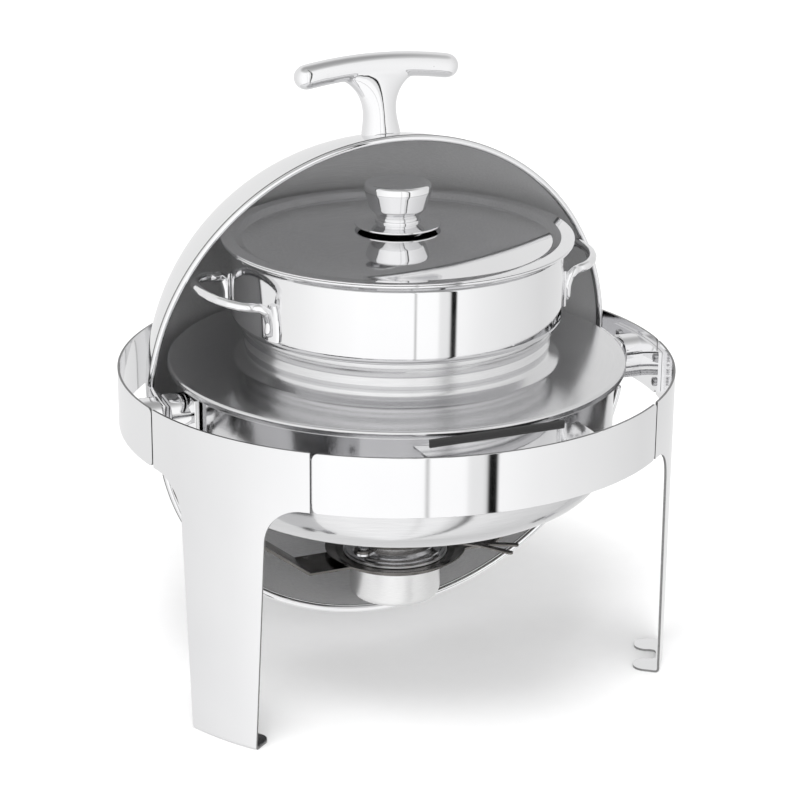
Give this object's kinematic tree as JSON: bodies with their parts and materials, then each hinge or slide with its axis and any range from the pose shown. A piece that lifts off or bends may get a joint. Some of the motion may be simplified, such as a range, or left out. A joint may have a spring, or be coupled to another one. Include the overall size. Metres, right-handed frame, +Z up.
{
  "type": "chafing dish food warmer",
  "caption": "Round roll-top chafing dish in polished steel: legged ring frame, water pan, lidded pot on a stepped collar, rolling dome lid with a T-shaped handle, and a fuel burner below.",
  "frame": {"origin": "on the ground at the ring frame's vertical axis", "axes": "+Z up, -Y the front with the ledge, +X along the lid's pivot axis to the right"},
  "size_m": [0.47, 0.47, 0.516],
  "materials": {
    "polished_steel": "mirror polished",
    "satin_steel": "satin",
    "fastener_steel": "turned"
  },
  "bodies": {
    "frame": {"front_left_leg": "polished_steel", "front_right_leg": "polished_steel", "rear_leg": "polished_steel", "front_ring_strip": "polished_steel", "left_ring_strip": "polished_steel", "right_ring_strip": "polished_steel", "front_ledge": "polished_steel", "adapter_plate": "polished_steel", "drip_saucer": "polished_steel", "ring_joint_plates": "satin_steel", "left_pivot_bracket": "satin_steel", "right_pivot_bracket": "satin_steel", "left_pan_hanger": "satin_steel", "right_pan_hanger": "satin_steel", "water_pan": "satin_steel", "burner_strap": "satin_steel", "fuel_cup": "satin_steel", "burner_collar": "satin_steel", "frame_screws": "fastener_steel", "ledge_screws": "fastener_steel", "left_pivot_pin": "fastener_steel", "right_pivot_pin": "fastener_steel", "pivot_washers": "fastener_steel", "lid_stop_pins": "fastener_steel", "strap_screws": "fastener_steel", "snuffer_rivet": "fastener_steel"},
    "lid": {"lid_dome": "polished_steel", "left_lid_ear_plate": "satin_steel", "right_lid_ear_plate": "satin_steel", "lid_handle": "polished_steel", "lid_handle_screws": "fastener_steel", "lid_handle_backing_plate": "satin_steel"},
    "pot": {"pot_body": "polished_steel", "pot_rim": "polished_steel", "left_pot_handle": "polished_steel", "right_pot_handle": "polished_steel"},
    "pot_lid": {"pot_lid": "polished_steel", "knob_base": "polished_steel", "knob_heat_guard": "polished_steel", "knob_grip": "polished_steel", "knob_screw": "fastener_steel"},
    "snuffer": {"snuffer_cover": "satin_steel"}
  },
  "joints": [
    {"name": "lid_roll", "type": "hinge", "parent": "frame", "child": "lid", "pos_m": [0, 0, 0.242], "axis": [-1, 0, 0], "range_deg": [-84.2, 0]},
    {"name": "pot_lift", "type": "slide", "parent": "frame", "child": "pot", "axis": [0, 0, 1], "range_m": [0, 0.005]},
    {"name": "pot_lid_lift", "type": "slide", "parent": "pot", "child": "pot_lid", "axis": [0, 0, 1], "range_m": [0, 0.01]},
    {"name": "snuffer_swivel", "type": "hinge", "parent": "frame", "child": "snuffer", "pos_m": [-0.04, -0.024, 0.104], "axis": [0, 0, 1], "range_deg": [-110, 0]}
  ]
}
